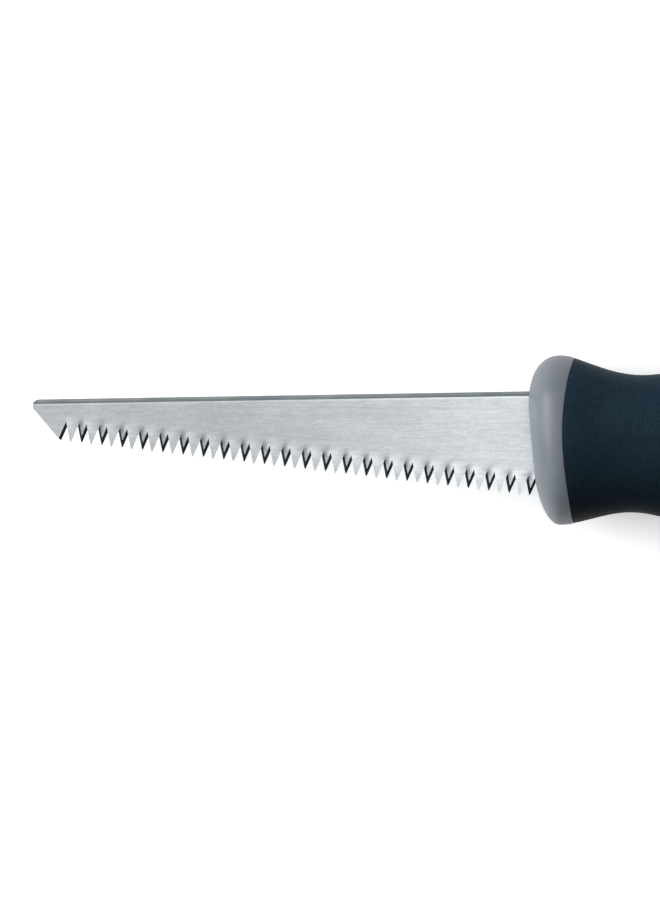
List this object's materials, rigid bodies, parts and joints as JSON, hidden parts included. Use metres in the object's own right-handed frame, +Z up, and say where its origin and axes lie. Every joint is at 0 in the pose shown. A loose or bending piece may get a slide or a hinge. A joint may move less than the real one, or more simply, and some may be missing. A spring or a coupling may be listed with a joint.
{
  "type": "drywall saw",
  "caption": "Fixed-blade drywall saw: straight toothed blade with a plunge point, hard nose collar, rubber-covered handle and a butt cap with a hanging hole.",
  "frame": {"origin": "under the middle of the saw's length and height, on the surface that it lies on", "axes": "+X from the toe of the blade to the butt, +Y from the teeth to the spine, +Z up, square to the blade"},
  "size_m": [0.2982, 0.0556, 0.038],
  "materials": {
    "blade_steel": "brushed along the blade",
    "nose_plastic": "satin, fine texture",
    "grip_rubber": "matt, fine texture",
    "butt_plastic": "satin, fine texture",
    "core_nylon": "moulded nylon, matt",
    "rivet_steel": "zinc plated, dull"
  },
  "bodies": {
    "root": {"blade": "blade_steel", "nose_collar": "nose_plastic", "grip_sleeve": "grip_rubber", "butt_cap": "butt_plastic", "core_upper": "core_nylon", "core_lower": "core_nylon", "tang_rivets": "rivet_steel", "rivet_washers": "rivet_steel"}
  },
  "joints": []
}
